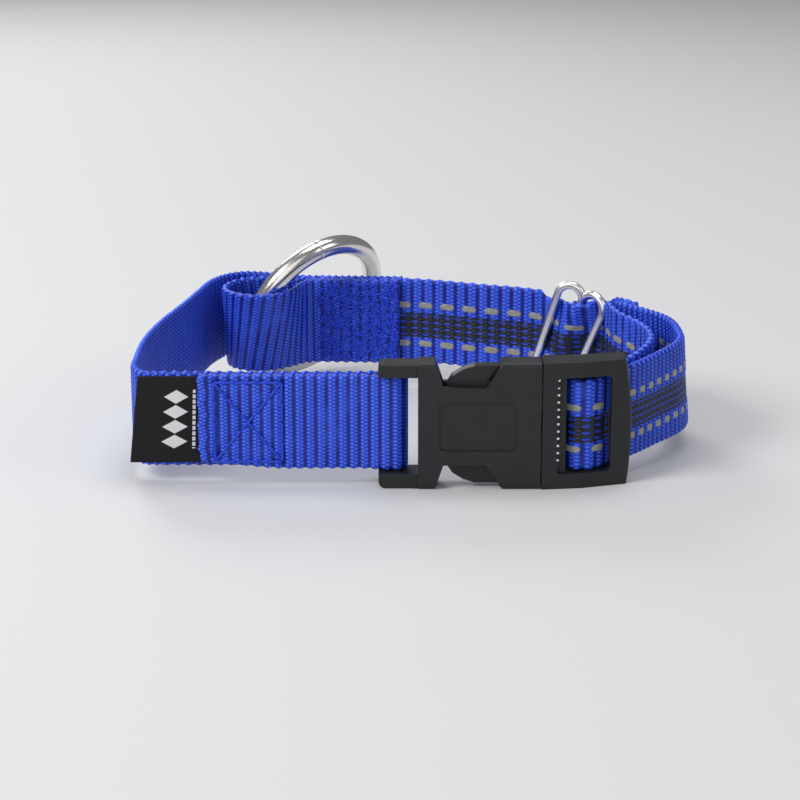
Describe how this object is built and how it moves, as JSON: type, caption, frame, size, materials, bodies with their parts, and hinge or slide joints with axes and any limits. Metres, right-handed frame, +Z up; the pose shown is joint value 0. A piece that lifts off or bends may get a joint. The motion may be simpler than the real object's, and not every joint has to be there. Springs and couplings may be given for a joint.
{
  "type": "martingale collar",
  "caption": "Webbing collar standing on edge as a closed loop, with a side-release buckle, a wire slide for its size and a leash ring in a sewn keeper.",
  "frame": {"origin": "on the floor, at the middle of the collar's box", "axes": "+Z up, along the web's width; +X along the front strap from the label towards the male half of the buckle; -Y towards the buckle, +Y towards the leash ring"},
  "size_m": [0.1142, 0.0908, 0.0364],
  "materials": {
    "plain_web": "ribbed nylon webbing, slight sheen",
    "reflective_web": "ribbed nylon webbing with a black centre and grey reflective yarns",
    "thread": "sewing thread",
    "label": "woven satin label",
    "buckle_plastic": "fine moulded texture",
    "ring_metal": "bright nickel plate",
    "slide_metal": "bright nickel plate"
  },
  "bodies": {
    "band": {"front_fold": "plain_web", "front_web": "plain_web", "left_web": "plain_web", "patch_back_web": "plain_web", "keeper_return": "plain_web", "keeper_front": "plain_web", "ring_eye": "plain_web", "neck_band": "reflective_web", "inner_loop_back": "reflective_web", "outer_loop_back": "reflective_web", "inner_loop_front": "reflective_web", "outer_loop_front": "reflective_web", "label": "label", "box_stitch": "thread", "patch_stitch": "thread", "buckle_female": "buckle_plastic"},
    "male_half": {"buckle_male": "buckle_plastic", "male_bar_wrap": "reflective_web"},
    "upper_prong": {"prong_upper": "buckle_plastic"},
    "lower_prong": {"prong_lower": "buckle_plastic"},
    "slider": {"slide": "slide_metal", "band_slide_run": "reflective_web", "band_end_fold": "reflective_web", "band_tail": "reflective_web", "tail_stitch": "thread"},
    "ring": {"o_ring": "ring_metal"}
  },
  "joints": [
    {"name": "buckle_release", "type": "slide", "parent": "band", "child": "male_half", "axis": [1, 0, 0], "range_m": [0, 0.024], "deforming": ["inner_loop_front", "outer_loop_front", "prong_upper", "prong_lower"]},
    {"name": "upper_prong_flex", "type": "hinge", "parent": "male_half", "child": "upper_prong", "pos_m": [0.024, -0.0421, 0.0201], "axis": [0, -1, 0], "range_deg": [0, 13], "stiffness_Nm_per_rad": 0.2},
    {"name": "lower_prong_flex", "type": "hinge", "parent": "male_half", "child": "lower_prong", "pos_m": [0.024, -0.0421, 0.0059], "axis": [0, -1, 0], "range_deg": [-13, 0], "stiffness_Nm_per_rad": 0.2},
    {"name": "slide_adjust", "type": "slide", "parent": "band", "child": "slider", "axis": [0.866, -0.5, 0], "range_m": [-0.012, 0.001], "deforming": ["neck_band", "inner_loop_back", "outer_loop_back"]},
    {"name": "ring_swing", "type": "hinge", "parent": "band", "child": "ring", "pos_m": [-0.03496, 0.01887, 0.019], "axis": [0.3009, -0.3226, 0.8974], "range_deg": [-5, 24], "deforming": ["ring_eye", "patch_back_web"]}
  ],
  "couplings": [
    {"joint": "lower_prong_flex", "follows": "upper_prong_flex", "ratio": -1}
  ]
}
